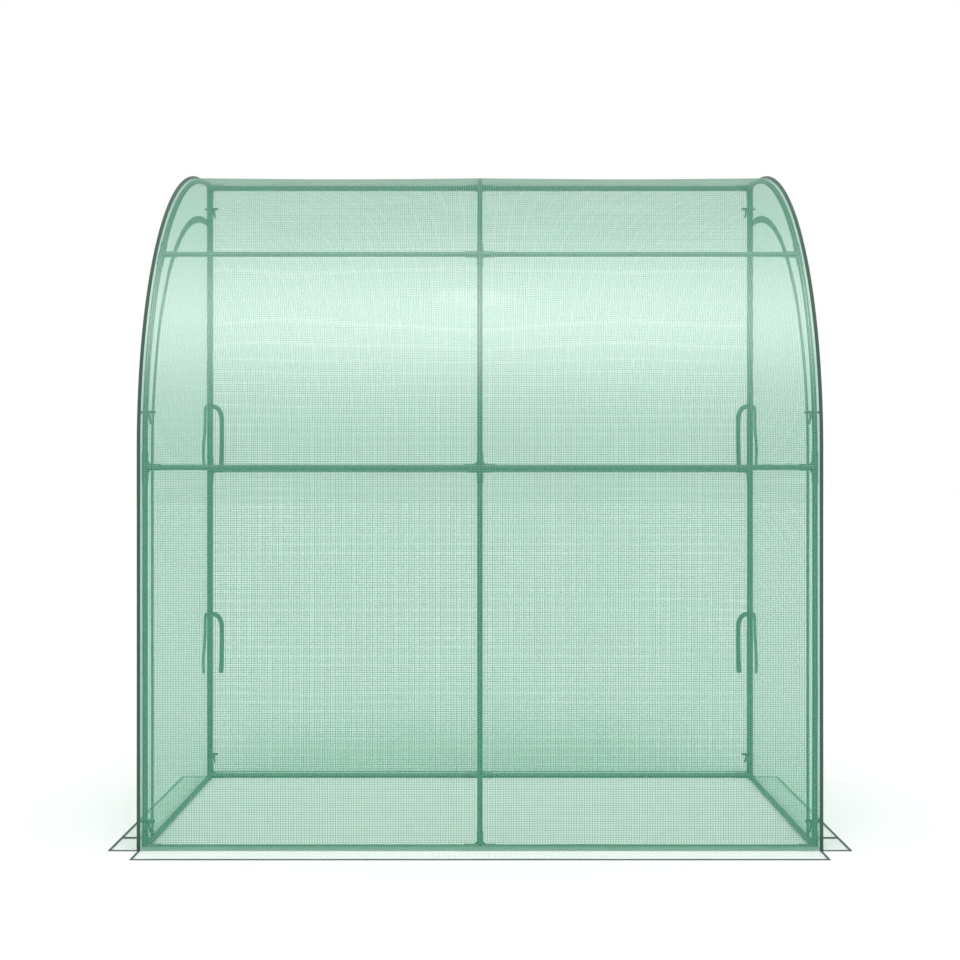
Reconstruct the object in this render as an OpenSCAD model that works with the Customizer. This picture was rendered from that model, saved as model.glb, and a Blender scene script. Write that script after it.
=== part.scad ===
// Walk-in lean-to greenhouse: a steel tube frame of three quarter-round hoops under a
// sewn mesh cover, with a zip door in each end and a ground skirt all round.
// +X points to the right seen from the front, +Y to the house wall and +Z up.
// The origin is on the ground, in the middle of the footprint.

/* [Overall size] */
// Length over the edge bindings
length = 2000; // [1400:10:3200]
// Depth over the front and back sheets
depth = 1000; // [760:10:1300]
// Height over the roof sheet
height = 2160; // [1750:10:2700]

/* [Frame] */
// Outer diameter of the steel tubes
tube_d = 16; // [12:0.5:22]
// Wall of a fitting's socket round its tube
socket_wall = 1.5; // [1:0.1:3]
// Play of a tube in its socket, on the radius
socket_play = 0.1; // [0.05:0.05:0.3]
// How far a fitting's round hub stands proud of its arms
hub_proud = 0.5; // [0.3:0.1:2]
// Length of a fitting's arm from the middle of the joint
arm_len = 45; // [36:1:50]
// Depth of the flat under each foot fitting
foot_flat = 1; // [0.5:0.1:1.5]
// How far the middle rails lie below the start of the bend
mid_rail_drop = 50; // [50:1:120]
// Angle up the bend at which the roof rail crosses it
roof_rail_angle = 38.5; // [30:0.5:55]
// Leg of the web that stiffens a fitting's corner
web_leg = 20; // [16:1:30]
// Thickness of that web
web_t = 5; // [3:0.5:8]

/* [Cover] */
// Thickness of the cover sheets
cover_t = 1; // [0.8:0.1:2]
// Gap between the hubs and the sheets that they carry
cover_gap = 0.3; // [0.2:0.1:1]
// Gap in the seam between an end sheet and the sheets round it
seam_gap = 0.2; // [0.1:0.1:0.5]
// Width of the ground skirt
skirt_w = 95; // [60:5:250]
// How far the binding stands out from the end sheet, at the front and over the arch
binding_w = 8; // [4:1:16]
// How far it stands out down the back corner
back_binding_w = 4; // [2:1:16]
// Thickness of the binding
binding_t = 2.5; // [1.5:0.5:5]

/* [Zip doors] */
// Distance from the hoop's tube to the zip, at the front and under the arch
door_inset = 135; // [90:5:220]
// Slit between the door and the end sheet, under the zip
door_slit = 1; // [0.5:0.5:3]
// Width of the zip tape
zip_w = 24; // [16:1:36]
// Thickness of the zip tape
zip_t = 1; // [0.8:0.2:2]
// Width of the zip's closed teeth
teeth_w = 6; // [4:1:8]
// Height of the teeth above the tape
teeth_t = 1.4; // [1:0.2:2]
// Height of the slider's middle above the ground
slider_z = 70; // [50:5:200]
// Width, thickness and length of the slider's body
slider_w = 11; // [9:1:16]
slider_t = 4; // [3:0.5:6]
slider_len = 16; // [12:1:24]
// Width, thickness and length of the slider's pull
pull_w = 7; // [5:1:12]
pull_t = 1.5; // [1:0.5:3]
pull_len = 30; // [20:1:40]

/* [Door straps] */
// Height of the lower straps
low_strap_z = 605; // [400:5:700]
// Height of the upper straps above the middle rails
high_strap_rise = 238; // [238:1:400]
// Width of the straps
strap_w = 15; // [10:1:20]
// Thickness of the straps
strap_t = 1.2; // [0.8:0.2:2]
// Radius on which a strap turns over, at its outer edge
strap_turn = 38; // [30:1:45]
// Length of a strap's hanging end below the turn
strap_drop = 186; // [120:1:186]
// How far a strap's inner end hangs from the axis of its post
strap_reach = 42; // [40:1:60]
// How far a strap starts past the axis of its post
strap_start = 6; // [0:1:7]
// Gap between a strap's outer end and the binding down the back corner
strap_inset = 1.3; // [0.5:0.1:10]

/* [Frame ties] */
// Height of the lower ties
low_tie_z = 85; // [80:1:150]
// Angle up the bend of the upper front ties
front_tie_angle = 6.5; // [4:0.5:20]
// How far the upper back ties lie below the top rail
back_tie_drop = 79; // [65:1:200]
// Width of the tie ribbon
tie_w = 8; // [6:1:12]
// Thickness of the tie ribbon
tie_t = 0.8; // [0.5:0.1:1]
// Play of the ribbons and straps round their tubes
tie_gap = 0.3; // [0.2:0.1:0.5]
// Size of a tie's knot
knot = 5; // [4:0.5:7]
// Length of a tie's level end
bow_len = 18; // [10:1:30]
// Length of a tie's hanging tail
tail_len = 30; // [20:1:50]
// Angle of the tail from the tube
tail_angle = 14; // [5:1:40]

/* [Hidden] */

$fn = 48;

TUBE_GREEN = "seagreen";
FITTING_GREEN = "darkgreen";
MESH_GREEN = [0.72, 0.92, 0.82, 0.5];
TRIM_GREEN = "darkslategray";
ZIP_METAL = "silver";

LEFT = -1;
CENTRE = 0;
RIGHT = 1;
HOOPS = [LEFT, CENTRE, RIGHT];

// How far a cut runs past the face that it opens.
over = 1;

// Radii of a tube, of its socket's bore, of a fitting's arm and of its hub.
tube_r = tube_d / 2;
bore_r = tube_r + socket_play;
arm_r = tube_r + socket_wall;
hub_r = arm_r + hub_proud;
// A tube stops this far from the middle of its joint.
tube_stop = tube_r + 4;

// From a tube's axis to the inner and to the outer face of the cover round it.
inner_off = hub_r + cover_gap;
outer_off = inner_off + cover_t;

// Axes of the end hoops, and of the lowest and the highest tubes.
post_x = length / 2 - binding_w - outer_off;
post_y = depth / 2 - outer_off;
foot_z = hub_r - foot_flat;
top_z = height - outer_off;

// The bend is a quarter circle from the front leg to the top of the back post.
bend_r = 2 * post_y;
bend_z = top_z - bend_r;
mid_z = bend_z - mid_rail_drop;

// The point of the bend that carries the roof rail.
roof_y = post_y - bend_r * cos(roof_rail_angle);
roof_z = bend_z + bend_r * sin(roof_rail_angle);

// Inner and outer face of an end sheet, and the zip's line in it.
side_in = post_x + inner_off;
side_out = post_x + outer_off;
door_r = bend_r - door_inset;
zip_y = post_y - door_r;
// The inner face of the binding down the back corner.
binding_back = outer_off - binding_t;

// The angle on the bend that a length along its axis takes up.
function bend_angle(len) = len * 180 / (PI * bend_r);
arm_angle = bend_angle(arm_len);
stop_angle = bend_angle(tube_stop);
over_angle = bend_angle(over);

// ---------- placing ----------

// Turns +Z to the way that an arm points.
module along(way) {
    turn = way == "down" ? [180, 0, 0]
         : way == "right" ? [0, 90, 0]
         : way == "left" ? [0, -90, 0]
         : way == "back" ? [-90, 0, 0]
         : way == "front" ? [90, 0, 0]
         : [0, 0, 0];
    rotate(turn) children();
}

// A drawing plane across the building at x. Its origin is the middle of the bend, its
// X runs to the front, its Y up and its Z to the left.
module hoop_plane(x) {
    translate([x, post_y, bend_z]) rotate([90, 0, -90]) children();
}

// What is drawn for the left end, or its mirror image for the right end.
module at_end(side) {
    mirror([side == RIGHT ? 1 : 0, 0, 0]) children();
}

// The ways in which rails leave a hoop.
function rail_ways(side) =
    side == LEFT ? ["right"] : side == RIGHT ? ["left"] : ["left", "right"];

// ---------- tubes ----------

// A straight tube between two joints that lie span apart. It stops short of both.
module tube(from, way, span) {
    color(TUBE_GREEN) translate(from) along(way) translate([0, 0, tube_stop])
        cylinder(r = tube_r, h = span - 2 * tube_stop);
}

// A round bar along the bend, from one angle to another.
module bent_bar(from, to, r) {
    rotate([0, 0, from]) rotate_extrude(angle = to - from, $fn = 96)
        translate([bend_r, 0]) circle(r = r);
}

module front_leg(side) {
    tube([side * post_x, -post_y, foot_z], "up", mid_z - foot_z);
}

// The arch is two tubes that meet in the roof rail's fitting. The lower one has a
// short straight end in the middle rail's fitting.
module arch(side) {
    x = side * post_x;
    color(TUBE_GREEN) union() {
        translate([x, -post_y, mid_z + tube_stop])
            cylinder(r = tube_r, h = mid_rail_drop - tube_stop);
        hoop_plane(x) bent_bar(0, roof_rail_angle - stop_angle, tube_r);
    }
    color(TUBE_GREEN) hoop_plane(x)
        bent_bar(roof_rail_angle + stop_angle, 90 - stop_angle, tube_r);
}

module back_post(side) {
    tube([side * post_x, post_y, foot_z], "up", mid_z - foot_z);
    tube([side * post_x, post_y, mid_z], "up", top_z - mid_z);
}

// Two rails in line, to the left and to the right of the middle hoop.
module rails(y, z) {
    for (way = rail_ways(CENTRE)) tube([0, y, z], way, post_x);
}

module side_ground_rails() {
    for (side = [LEFT, RIGHT])
        tube([side * post_x, -post_y, foot_z], "back", 2 * post_y);
}

// ---------- fittings ----------

module arms(ways) {
    for (way = ways) along(way) cylinder(r = arm_r, h = arm_len);
}

module bores(ways) {
    for (way = ways) along(way) translate([0, 0, tube_stop])
        cylinder(r = bore_r, h = arm_len - tube_stop + over);
}

// A web in the corner between a level arm and an upright one.
module web(level, upright) {
    turn = level == "right" ? 0 : level == "back" ? 90 : level == "left" ? 180 : 270;
    mirror([0, 0, upright == "up" ? 0 : 1]) rotate([90, 0, turn])
        translate([0, 0, -web_t / 2]) linear_extrude(web_t)
            polygon([[0, 0], [web_leg, 0], [0, web_leg]]);
}

// A fitting with straight arms, round the middle of its joint.
module fitting(levels, uprights) {
    ways = concat(levels, uprights);
    difference() {
        union() {
            sphere(r = hub_r);
            arms(ways);
            for (level = levels, upright = uprights) web(level, upright);
        }
        bores(ways);
    }
}

// The feet: each has an arm for its post and its ground rails, and a flat underside.
// The end ones also hold the rail that runs across.
module foot_fittings(y, across) {
    for (side = HOOPS)
        color(FITTING_GREEN) difference() {
            translate([side * post_x, y, foot_z])
                fitting(concat(rail_ways(side), side == CENTRE ? [] : [across]), ["up"]);
            translate([side * post_x - 2 * arm_len, y - 2 * arm_len, -2 * hub_r])
                cube([4 * arm_len, 4 * arm_len, 2 * hub_r]);
        }
}

module middle_fittings(y) {
    for (side = HOOPS)
        color(FITTING_GREEN) translate([side * post_x, y, mid_z])
            fitting(rail_ways(side), ["up", "down"]);
}

// These follow the bend, and hold the two tubes of an arch and the roof rails. They are
// drawn in the hoop's plane, which the rails to the left leave upwards.
module roof_fittings() {
    for (side = HOOPS) {
        ways = [for (way = rail_ways(side)) way == "left" ? "up" : "down"];
        color(FITTING_GREEN) hoop_plane(side * post_x) rotate([0, 0, roof_rail_angle])
            difference() {
                union() {
                    bent_bar(-arm_angle, arm_angle, arm_r);
                    translate([bend_r, 0, 0]) {
                        sphere(r = hub_r);
                        arms(ways);
                    }
                }
                bent_bar(-arm_angle - over_angle, -stop_angle, bore_r);
                bent_bar(stop_angle, arm_angle + over_angle, bore_r);
                translate([bend_r, 0, 0]) bores(ways);
            }
    }
}

// These hold an arch, a back post and the top rails.
module top_fittings() {
    for (side = HOOPS) {
        ways = concat(rail_ways(side), ["down"]);
        color(FITTING_GREEN) difference() {
            union() {
                hoop_plane(side * post_x) bent_bar(90 - arm_angle, 90, arm_r);
                translate([side * post_x, post_y, top_z]) {
                    sphere(r = hub_r);
                    arms(ways);
                }
            }
            hoop_plane(side * post_x)
                bent_bar(90 - arm_angle - over_angle, 90 - stop_angle, bore_r);
            translate([side * post_x, post_y, top_z]) bores(ways);
        }
    }
}

// ---------- cover ----------

// A quarter disc over the bend.
module quarter(r) {
    intersection() {
        circle(r = r, $fn = 96);
        square(r + over);
    }
}

// The outline of the hoop and all below it, r out from the middle of the bend, back
// behind the post's axis and low below the bend. Its top corner is round.
module hoop_outline(r, back, low) {
    translate([-back, -low]) square([r + back, low]);
    quarter(r);
    translate([-back, 0]) square([back, r - back]);
    translate([0, r - back]) intersection() {
        circle(r = back, $fn = 96);
        translate([-back - over, 0]) square(back + over);
    }
}

// The outline of the door, with a square top corner at the back post.
module door_outline(r, back, low) {
    translate([-back, -low]) square([r + back, low]);
    quarter(r);
    translate([-back, 0]) square([back, r]);
}

module front_cover() {
    color(MESH_GREEN) translate([-side_out, -depth / 2, 0])
        cube([2 * side_out, cover_t, bend_z]);
}

// A strip of the roof sheet, round a corner of radius r at the hoops.
module rolled_sheet(r, angle) {
    rotate_extrude(angle = angle, $fn = 96) translate([r + inner_off, -side_out])
        square([cover_t, 2 * side_out]);
}

module roof_cover() {
    color(MESH_GREEN) hoop_plane(0) {
        rolled_sheet(bend_r, 90);
        translate([0, bend_r]) rotate([0, 0, 90]) rolled_sheet(0, 90);
    }
}

module back_cover() {
    color(MESH_GREEN) translate([-side_out, depth / 2 - cover_t, 0])
        cube([2 * side_out, cover_t, top_z]);
}

// The fixed part of an end sheet: a band between the hoop and the door's zip.
module side_cover(side) {
    color(MESH_GREEN) at_end(side) hoop_plane(-side_in) linear_extrude(cover_t)
        difference() {
            hoop_outline(bend_r + inner_off - seam_gap, inner_off - seam_gap, bend_z);
            door_outline(door_r + door_slit / 2, inner_off + over, bend_z + over);
        }
}

module door(side) {
    color(MESH_GREEN) at_end(side) hoop_plane(-side_in) linear_extrude(cover_t)
        door_outline(door_r - door_slit / 2, inner_off - seam_gap, bend_z);
}

// A band of width w along the zip's line, down to the skirt.
module zip_band(w) {
    difference() {
        door_outline(door_r + w / 2, binding_back, bend_z - cover_t);
        door_outline(door_r - w / 2, binding_back + over, bend_z);
    }
}

module door_zip(side) {
    color(TRIM_GREEN) at_end(side) hoop_plane(-side_out) {
        linear_extrude(zip_t) zip_band(zip_w);
        linear_extrude(zip_t + teeth_t) zip_band(teeth_w);
    }
}

// The slider sits on the teeth, and its pull hangs from it.
module zip_slider(side) {
    color(ZIP_METAL) at_end(side)
        translate([-side_out - zip_t - teeth_t, zip_y, slider_z]) {
            translate([-slider_t, -slider_w / 2, -slider_len / 2])
                cube([slider_t, slider_w, slider_len]);
            translate([-slider_t, -pull_w / 2, -slider_len / 2 - pull_len])
                cube([pull_t, pull_w, pull_len + slider_len / 2]);
        }
}

// The bound seam round the end sheet, up the front, over the arch and down the back.
module edge_binding(side) {
    color(TRIM_GREEN) at_end(side) hoop_plane(-side_out) {
        linear_extrude(back_binding_w) binding_outline();
        linear_extrude(binding_w) intersection() {
            binding_outline();
            translate([0, -bend_z]) square([bend_r + outer_off + over, height]);
        }
    }
}

module binding_outline() {
    difference() {
        hoop_outline(bend_r + outer_off, outer_off, bend_z - cover_t);
        hoop_outline(bend_r + outer_off - binding_t, binding_back, bend_z);
    }
}

// ---------- ground skirt ----------

// A strip of skirt with its low corner at x and y.
module skirt(x, y, w, d) {
    color(MESH_GREEN) translate([x, y, 0]) cube([w, d, cover_t]);
}

module front_skirt() {
    skirt(-side_out, -depth / 2 - skirt_w, 2 * side_out, skirt_w);
}

module back_skirt() {
    skirt(-side_out, depth / 2, 2 * side_out, skirt_w);
}

// In front of the zip the skirt hangs from the end sheet, and behind it from the door.
module side_skirt(side) {
    at_end(side) skirt(-side_out - skirt_w, -depth / 2, skirt_w,
                       zip_y - door_slit / 2 + depth / 2);
}

module door_skirt(side) {
    at_end(side) skirt(-side_out - skirt_w, zip_y + door_slit / 2, skirt_w,
                       depth / 2 - zip_y - door_slit / 2);
}

// ---------- straps and ties ----------

// The shape of a strap's inner end: from its post it turns over and hangs down.
module strap_shape() {
    edge = strap_reach + strap_w / 2;
    turn_x = edge - strap_turn;
    translate([-strap_start, -strap_w]) square([turn_x + strap_start, strap_w]);
    translate([turn_x, -strap_turn]) difference() {
        quarter(strap_turn);
        circle(r = strap_turn - strap_w, $fn = 96);
    }
    translate([edge - strap_w, -strap_turn - strap_drop]) square([strap_w, strap_drop]);
}

// Each strap holds the rolled door to the back post: one end hangs inside, in front of
// the post, and the other lies outside on the door.
module door_straps(side) {
    hang = strap_turn + strap_drop;
    strap_back = post_y + binding_back - strap_inset;
    for (top = [low_strap_z, mid_z + high_strap_rise])
        color(TRIM_GREEN) at_end(side) {
            translate([-post_x, post_y - tube_r - tie_gap, top]) rotate([90, 0, 0])
                linear_extrude(strap_t) strap_shape();
            translate([-side_out - strap_t, strap_back - strap_w, top - hang])
                cube([strap_t, strap_w, hang]);
        }
}

// A ribbon tied round a tube that stands on +Z, with its knot and ends on +X. On -X it is
// sewn to the end sheet.
module tie() {
    ring_r = tube_r + tie_gap;
    sewn_len = inner_off - ring_r;
    difference() {
        cylinder(r = ring_r + tie_t, h = tie_w, center = true);
        cylinder(r = ring_r, h = tie_w + over, center = true);
    }
    translate([-inner_off, 0, 0]) loose_end(sewn_len);
    translate([ring_r, -knot / 2, -knot / 2]) cube(knot);
    translate([ring_r + knot / 2, 0, 0]) {
        loose_end(bow_len);
        rotate([0, 90 - tail_angle, 0]) loose_end(tail_len);
    }
}

// A flat end of the ribbon, from the knot along +X.
module loose_end(len) {
    translate([0, -tie_t / 2, -knot / 2]) cube([len, tie_t, knot]);
}

module frame_ties(side) {
    color(TRIM_GREEN) at_end(side) {
        translate([-post_x, -post_y, low_tie_z]) tie();
        translate([-post_x, post_y, low_tie_z]) tie();
        translate([-post_x, post_y, top_z - back_tie_drop]) tie();
        translate([-post_x, post_y, bend_z]) rotate([-front_tie_angle, 0, 0])
            translate([0, -bend_r, 0]) tie();
    }
}

// ---------- the pieces ----------

front_leg(LEFT);  // left_front_leg
front_leg(CENTRE);  // centre_front_leg
front_leg(RIGHT);  // right_front_leg
arch(LEFT);  // left_arch
arch(CENTRE);  // centre_arch
arch(RIGHT);  // right_arch
back_post(LEFT);  // left_back_post
back_post(CENTRE);  // centre_back_post
back_post(RIGHT);  // right_back_post
rails(-post_y, foot_z);  // front_ground_rails
rails(post_y, foot_z);  // back_ground_rails
side_ground_rails();
rails(-post_y, mid_z);  // front_middle_rails
rails(post_y, mid_z);  // back_middle_rails
rails(roof_y, roof_z);  // roof_rails
rails(post_y, top_z);  // top_rails
foot_fittings(-post_y, "back");  // front_foot_fittings
foot_fittings(post_y, "front");  // back_foot_fittings
middle_fittings(-post_y);  // front_middle_fittings
middle_fittings(post_y);  // back_middle_fittings
roof_fittings();
top_fittings();
front_cover();
roof_cover();
back_cover();
side_cover(LEFT);  // left_side_cover
side_cover(RIGHT);  // right_side_cover
door(LEFT);  // left_door
door(RIGHT);  // right_door
door_zip(LEFT);  // left_door_zip
door_zip(RIGHT);  // right_door_zip
zip_slider(LEFT);  // left_zip_slider
zip_slider(RIGHT);  // right_zip_slider
edge_binding(LEFT);  // left_edge_binding
edge_binding(RIGHT);  // right_edge_binding
front_skirt();
back_skirt();
side_skirt(LEFT);  // left_side_skirt
side_skirt(RIGHT);  // right_side_skirt
door_skirt(LEFT);  // left_door_skirt
door_skirt(RIGHT);  // right_door_skirt
door_straps(LEFT);  // left_door_straps
door_straps(RIGHT);  // right_door_straps
frame_ties(LEFT);  // left_frame_ties
frame_ties(RIGHT);  // right_frame_ties
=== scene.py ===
"""Lean-to greenhouse: the finish of its tube frame, and its mesh cover, doors, skirts and ties."""

import logging
import math
from dataclasses import dataclass
from enum import Enum
from typing import Callable, Sequence

import bpy
from mathutils import Matrix, Vector, noise


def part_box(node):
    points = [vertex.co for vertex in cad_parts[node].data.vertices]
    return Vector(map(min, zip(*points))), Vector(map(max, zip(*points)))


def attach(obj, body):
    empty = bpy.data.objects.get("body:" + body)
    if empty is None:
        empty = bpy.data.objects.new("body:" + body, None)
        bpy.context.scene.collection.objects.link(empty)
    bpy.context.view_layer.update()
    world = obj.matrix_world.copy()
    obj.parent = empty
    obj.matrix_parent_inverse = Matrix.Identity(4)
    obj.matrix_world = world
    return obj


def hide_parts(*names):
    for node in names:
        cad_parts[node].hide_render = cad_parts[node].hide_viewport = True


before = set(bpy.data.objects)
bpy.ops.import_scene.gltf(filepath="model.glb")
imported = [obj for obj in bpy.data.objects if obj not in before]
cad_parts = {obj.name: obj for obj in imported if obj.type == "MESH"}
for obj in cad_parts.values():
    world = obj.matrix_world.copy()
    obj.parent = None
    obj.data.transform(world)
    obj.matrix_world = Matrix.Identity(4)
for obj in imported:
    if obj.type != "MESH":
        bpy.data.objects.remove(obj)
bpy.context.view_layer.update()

LOG = logging.getLogger("greenhouse")
BODY = "root"
MM = 0.001
BINDING_W = 8 * MM

Colour = tuple[float, float, float]
Point2 = tuple[float, float]
Socket = bpy.types.NodeSocket
Object = bpy.types.Object


# ---------------------------------------------------------------- options


class Side(Enum):
    """An end of the building, with the sign of its place along X."""

    LEFT = -1
    RIGHT = 1

    @property
    def label(self) -> str:
        """The word that piece and node names start with."""
        return self.name.lower()


class Held(Enum):
    """How a sheet of the cover is held."""

    STRETCHED = "stretched"
    LAID = "laid"
    HUNG = "hung"


class Slot(Enum):
    """The material slots."""

    TUBE = "tube"
    FITTING = "fitting"
    MESH = "mesh"
    TRIM = "trim"
    ZIP_METAL = "zip_metal"


# ---------------------------------------------------------------- node trees


class Tree:
    """A node tree, with short ways to add nodes and link them."""

    def __init__(self, tree: bpy.types.NodeTree) -> None:
        """Keep the tree that the nodes go into."""
        self.tree = tree

    def add(self, kind: str, inputs: dict | None = None, **settings: object) -> bpy.types.Node:
        """Add a node.

        Args:
            kind: The node's type, without its Shader prefix.
            inputs: Values or sockets for its inputs, by name or number.
            settings: Its other settings.

        Returns:
            The new node.
        """
        node = self.tree.nodes.new("ShaderNode" + kind)
        for name, value in settings.items():
            setattr(node, name, value)
        for key, value in (inputs or {}).items():
            self.feed(node.inputs[key], value)
        return node

    def feed(self, socket: Socket, value: object) -> None:
        """Link a socket to an input, or set the input's own value.

        Args:
            socket: The input.
            value: A socket to link, or a plain value.
        """
        if isinstance(value, bpy.types.NodeSocket):
            self.tree.links.new(value, socket)
        else:
            socket.default_value = value

    def math(self, operation: str, *values: object) -> Socket:
        """Return the result of one Math node on some values or sockets."""
        return self.add("Math", dict(enumerate(values)), operation=operation).outputs[0]

    def blend(self, factor: object, low: object, high: object) -> Socket:
        """Return a number between low and high, by factor.

        Args:
            factor: 0 for low and 1 for high.
            low: The number, or its socket, at 0.
            high: The number, or its socket, at 1.

        Returns:
            The number's socket.
        """
        inputs = {"Value": factor, "To Min": low, "To Max": high}
        return self.add("MapRange", inputs).outputs["Result"]

    def tint(self, factor: object, low: object, high: object) -> Socket:
        """Return a colour between low and high, by factor.

        Args:
            factor: 0 for low and 1 for high.
            low: The colour, or its socket, at 0.
            high: The colour, or its socket, at 1.

        Returns:
            The colour's socket.
        """
        node = self.add("Mix", {"Factor": factor}, data_type="RGBA")
        self.feed(node.inputs[6], low)
        self.feed(node.inputs[7], high)
        return node.outputs[2]

    def group(self, shared: bpy.types.NodeTree, **inputs: object) -> bpy.types.Node:
        """Place a shared group.

        Args:
            shared: The group's tree.
            inputs: Its inputs by name, with underscores for spaces.

        Returns:
            The group's node.
        """
        node = self.tree.nodes.new("ShaderNodeGroup")
        node.node_tree = shared
        for name, value in inputs.items():
            self.feed(node.inputs[name.replace("_", " ")], value)
        return node


def rgba(colour: Colour) -> tuple[float, float, float, float]:
    """Return a colour with a full alpha."""
    return (*colour, 1.0)


def new_group(name: str, inputs: dict[str, object], outputs: dict[str, str]) -> tuple[Tree, dict, dict]:
    """Start a shared shader group.

    Args:
        name: The group's name.
        inputs: Each input's name and its usual value, or None for a vector.
        outputs: Each output's name and its kind, Float or Color.

    Returns:
        The group's tree, its input sockets by name, and its output inputs by name.
    """
    tree = bpy.data.node_groups.new(name, "ShaderNodeTree")
    for label, value in inputs.items():
        kind = "Vector" if value is None else "Color" if isinstance(value, tuple) else "Float"
        socket = tree.interface.new_socket(label, in_out="INPUT", socket_type="NodeSocket" + kind)
        if value is not None:
            socket.default_value = value
    for label, kind in outputs.items():
        tree.interface.new_socket(label, in_out="OUTPUT", socket_type="NodeSocket" + kind)
    start = tree.nodes.new("NodeGroupInput")
    end = tree.nodes.new("NodeGroupOutput")
    return (
        Tree(tree),
        {label: start.outputs[label] for label in inputs},
        {label: end.inputs[label] for label in outputs},
    )


class Effects:
    """The effects that several finishes share, each a group that is built once."""

    BEND_SCALE = 1.6
    BEND = 5 * MM
    GAP_SCALE = 5.0
    GAP_DRIFT = 2 * MM
    LEVEL_FROM = 0.88
    LEVEL_TO = 0.985

    def __init__(self) -> None:
        """Build every group."""
        self.grid = self._grid()
        self.weave = self._weave()
        self.mottle = self._mottle()
        self.wear = self._wear()
        self.dust = self._level_shade()

    @staticmethod
    def _grid() -> bpy.types.NodeTree:
        """Build the net of threads in the cover, laid out on a map in metres.

        Returns:
            The group, which gives a mask of the threads and their height.
        """
        tree, given, made = new_group(
            "thread_grid",
            {"Map": None, "Pitch U": 7.65 * MM, "Pitch V": 6.7 * MM, "Thread": 0.9 * MM},
            {"Threads": "Float", "Height": "Float"},
        )
        drift = tree.add("TexNoise", {"Vector": given["Map"], "Scale": Effects.BEND_SCALE, "Detail": 1.0})
        centred = tree.add("VectorMath", {0: drift.outputs["Color"], 1: (0.5,) * 3}, operation="SUBTRACT")
        moved = {0: centred.outputs[0], 1: (Effects.BEND,) * 3, 2: given["Map"]}
        bent = tree.add("VectorMath", moved, operation="MULTIPLY_ADD")
        along = tree.add("SeparateXYZ", {0: bent.outputs[0]})
        half = tree.math("MULTIPLY", given["Thread"], 0.5)
        masks, crowns = [], []
        for axis, pitch in (("X", "Pitch U"), ("Y", "Pitch V")):
            uneven = {"W": along.outputs[axis], "Scale": Effects.GAP_SCALE, "Detail": 1.0}
            gap = tree.add("TexNoise", uneven, noise_dimensions="1D").outputs["Fac"]
            place = tree.math("MULTIPLY_ADD", gap, Effects.GAP_DRIFT, along.outputs[axis])
            reach = tree.math("MULTIPLY", given[pitch], 0.5)
            off = tree.math("PINGPONG", place, reach)
            share = tree.math("DIVIDE", off, half)
            edge = {"Value": share, "From Min": 1.15, "From Max": 0.85}
            masks.append(tree.add("MapRange", edge, interpolation_type="SMOOTHSTEP").outputs["Result"])
            flat = tree.math("MULTIPLY", share, share)
            crowns.append(tree.math("MAXIMUM", tree.math("SUBTRACT", 1.0, flat), 0.0))
        tree.feed(made["Threads"], tree.math("MAXIMUM", *masks))
        tree.feed(made["Height"], tree.math("MAXIMUM", *crowns))
        return tree.tree

    @staticmethod
    def _weave() -> bpy.types.NodeTree:
        """Build the plain weave of tapes and ribbons, laid out on a map in metres.

        Returns:
            The group, which gives the weave's height.
        """
        tree, given, made = new_group("tape_weave", {"Map": None, "Pitch": 1.2 * MM}, {"Height": "Float"})
        along = tree.add("SeparateXYZ", {0: given["Map"]})
        turns = tree.math("DIVIDE", 2 * math.pi, given["Pitch"])
        waves = [tree.math("SINE", tree.math("MULTIPLY", along.outputs[axis], turns)) for axis in ("X", "Y")]
        tree.feed(made["Height"], tree.math("MULTIPLY_ADD", tree.math("MULTIPLY", *waves), 0.5, 0.5))
        return tree.tree

    @staticmethod
    def _mottle() -> bpy.types.NodeTree:
        """Build a soft unevenness of colour.

        Returns:
            The group, which gives the uneven colour and the cloud behind it.
        """
        tree, given, made = new_group(
            "mottle",
            {"Place": None, "Colour": (0.5, 0.5, 0.5, 1.0), "Scale": 8.0, "Amount": 0.1},
            {"Colour": "Color", "Cloud": "Float"},
        )
        cloud = tree.add("TexNoise", {"Vector": given["Place"], "Scale": given["Scale"], "Detail": 4.0})
        shift = tree.math("SUBTRACT", cloud.outputs["Fac"], 0.5)
        value = tree.math("MULTIPLY_ADD", shift, given["Amount"], 1.0)
        hue = tree.add("HueSaturation", {"Value": value, "Color": given["Colour"]})
        tree.feed(made["Colour"], hue.outputs[0])
        tree.feed(made["Cloud"], cloud.outputs["Fac"])
        return tree.tree

    @staticmethod
    def _wear() -> bpy.types.NodeTree:
        """Build a mask of the edges that handling has rubbed.

        Returns:
            The group, which gives the mask.
        """
        tree, given, made = new_group("edge_wear", {"Place": None, "Reach": 0.06}, {"Mask": "Float"})
        edge = tree.add("NewGeometry").outputs["Pointiness"]
        sharpest = tree.math("ADD", 0.5, given["Reach"])
        sharp = tree.add("MapRange", {"Value": edge, "From Min": 0.5, "From Max": sharpest})
        patch = tree.add("TexNoise", {"Vector": given["Place"], "Scale": 60.0, "Detail": 3.0})
        tree.feed(made["Mask"], tree.math("MULTIPLY", sharp.outputs["Result"], patch.outputs["Fac"]))
        return tree.tree

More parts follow.
